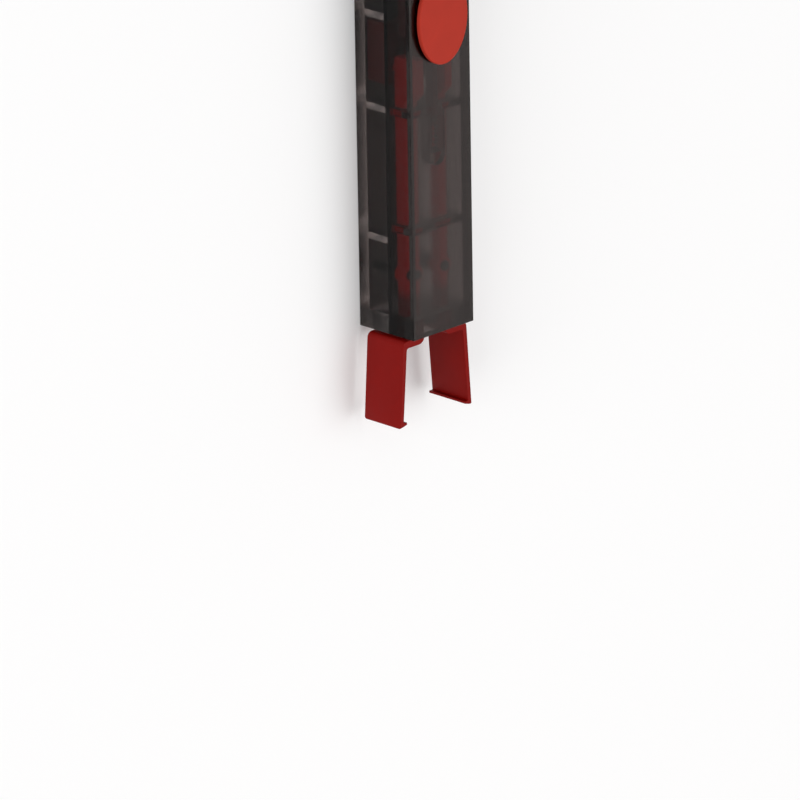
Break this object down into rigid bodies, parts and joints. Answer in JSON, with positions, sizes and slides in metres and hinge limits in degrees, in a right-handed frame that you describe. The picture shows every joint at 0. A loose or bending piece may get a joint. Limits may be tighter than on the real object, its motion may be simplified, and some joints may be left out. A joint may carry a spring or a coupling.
{
  "type": "keycap puller",
  "caption": "Hand-held keycap puller: a clear smoky bar housing with an oval thumb pad that slides toward the mouth and swings two hooked red jaws apart; a spring closes them.",
  "frame": {"origin": "centre of the footprint of the closed tool, on the plane of the housing's back face", "axes": "+X across the jaws, to the right when looking at the thumb pad with the jaws down; +Y from the jaws to the butt end; +Z from the back face to the thumb pad"},
  "size_m": [0.0198, 0.1222, 0.016],
  "materials": {
    "smoky_plastic": "satin smoky translucent",
    "red_pad": "satin",
    "red_plastic": "satin",
    "steel": "plain drawn wire and pin stock"
  },
  "bodies": {
    "housing": {"front_shell": "smoky_plastic", "rear_shell": "smoky_plastic", "left_jaw_pin": "steel", "right_jaw_pin": "steel", "return_spring": "steel"},
    "slider": {"cam_slider": "red_plastic", "thumb_pad": "red_pad", "pad_screw": "steel"},
    "left_jaw": {"left_jaw": "red_plastic"},
    "right_jaw": {"right_jaw": "red_plastic"}
  },
  "joints": [
    {"name": "thumb_slide", "type": "slide", "parent": "housing", "child": "slider", "axis": [0, -1, 0], "range_m": [0, 0.004], "stiffness_N_per_m": 300, "springref_m": -0.004, "deforming": ["return_spring"]},
    {"name": "left_jaw_pivot", "type": "hinge", "parent": "housing", "child": "left_jaw", "pos_m": [-0.00385, -0.0312, 0.0073], "axis": [0, 0, -1], "range_deg": [0, 2.5]},
    {"name": "right_jaw_pivot", "type": "hinge", "parent": "housing", "child": "right_jaw", "pos_m": [0.00385, -0.0312, 0.0073], "axis": [0, 0, 1], "range_deg": [0, 2.5]}
  ],
  "couplings": [
    {"joint": "left_jaw_pivot", "follows": "thumb_slide", "rad_per_m": 10.905},
    {"joint": "right_jaw_pivot", "follows": "thumb_slide", "rad_per_m": 10.905}
  ]
}
